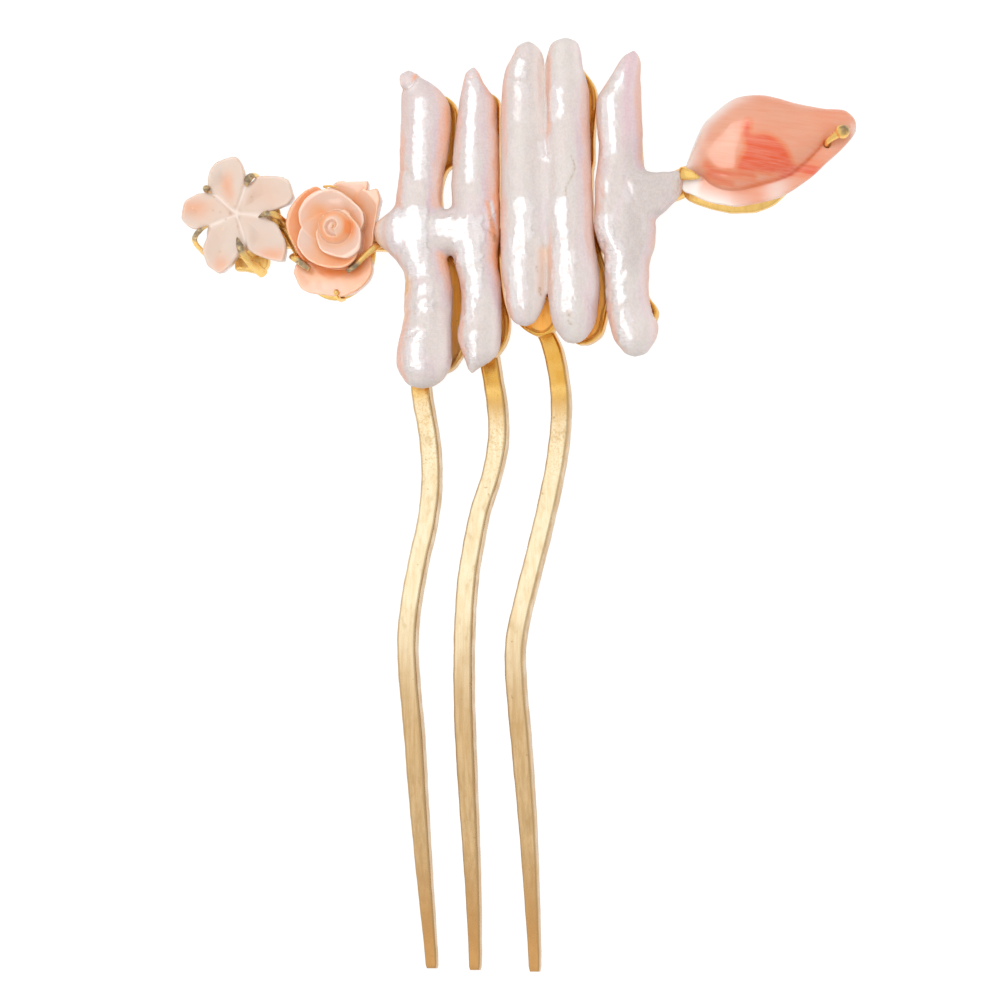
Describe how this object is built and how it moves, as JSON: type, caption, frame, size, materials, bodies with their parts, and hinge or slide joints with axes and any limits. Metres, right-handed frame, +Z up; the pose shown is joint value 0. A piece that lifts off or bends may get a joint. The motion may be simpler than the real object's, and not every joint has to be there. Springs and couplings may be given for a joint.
{
  "type": "bun hairpin",
  "caption": "Pronged bun hairpin: a row of baroque stick pearls between carved coral flowers and a coral leaf, in one soldered gilt mount with long wavy prongs.",
  "frame": {"origin": "middle of the outline seen from above, at the height of the flat back that it lies on", "axes": "+X to the right with the leaf, +Y from the prong tips to the head, +Z up out of the surface, the way the stones face"},
  "size_m": [0.0722, 0.0974, 0.0082],
  "materials": {
    "gilt_brass": "satin gilt, worn in places",
    "stick_pearl": "pearly nacre",
    "pale_coral": "polished",
    "salmon_coral": "polished"
  },
  "bodies": {
    "root": {"mount": "gilt_brass", "pearl_pair": "stick_pearl", "pearl_twin": "stick_pearl", "pearl_cross": "stick_pearl", "coral_flower": "pale_coral", "coral_rose": "salmon_coral", "coral_leaf": "salmon_coral"}
  },
  "joints": []
}
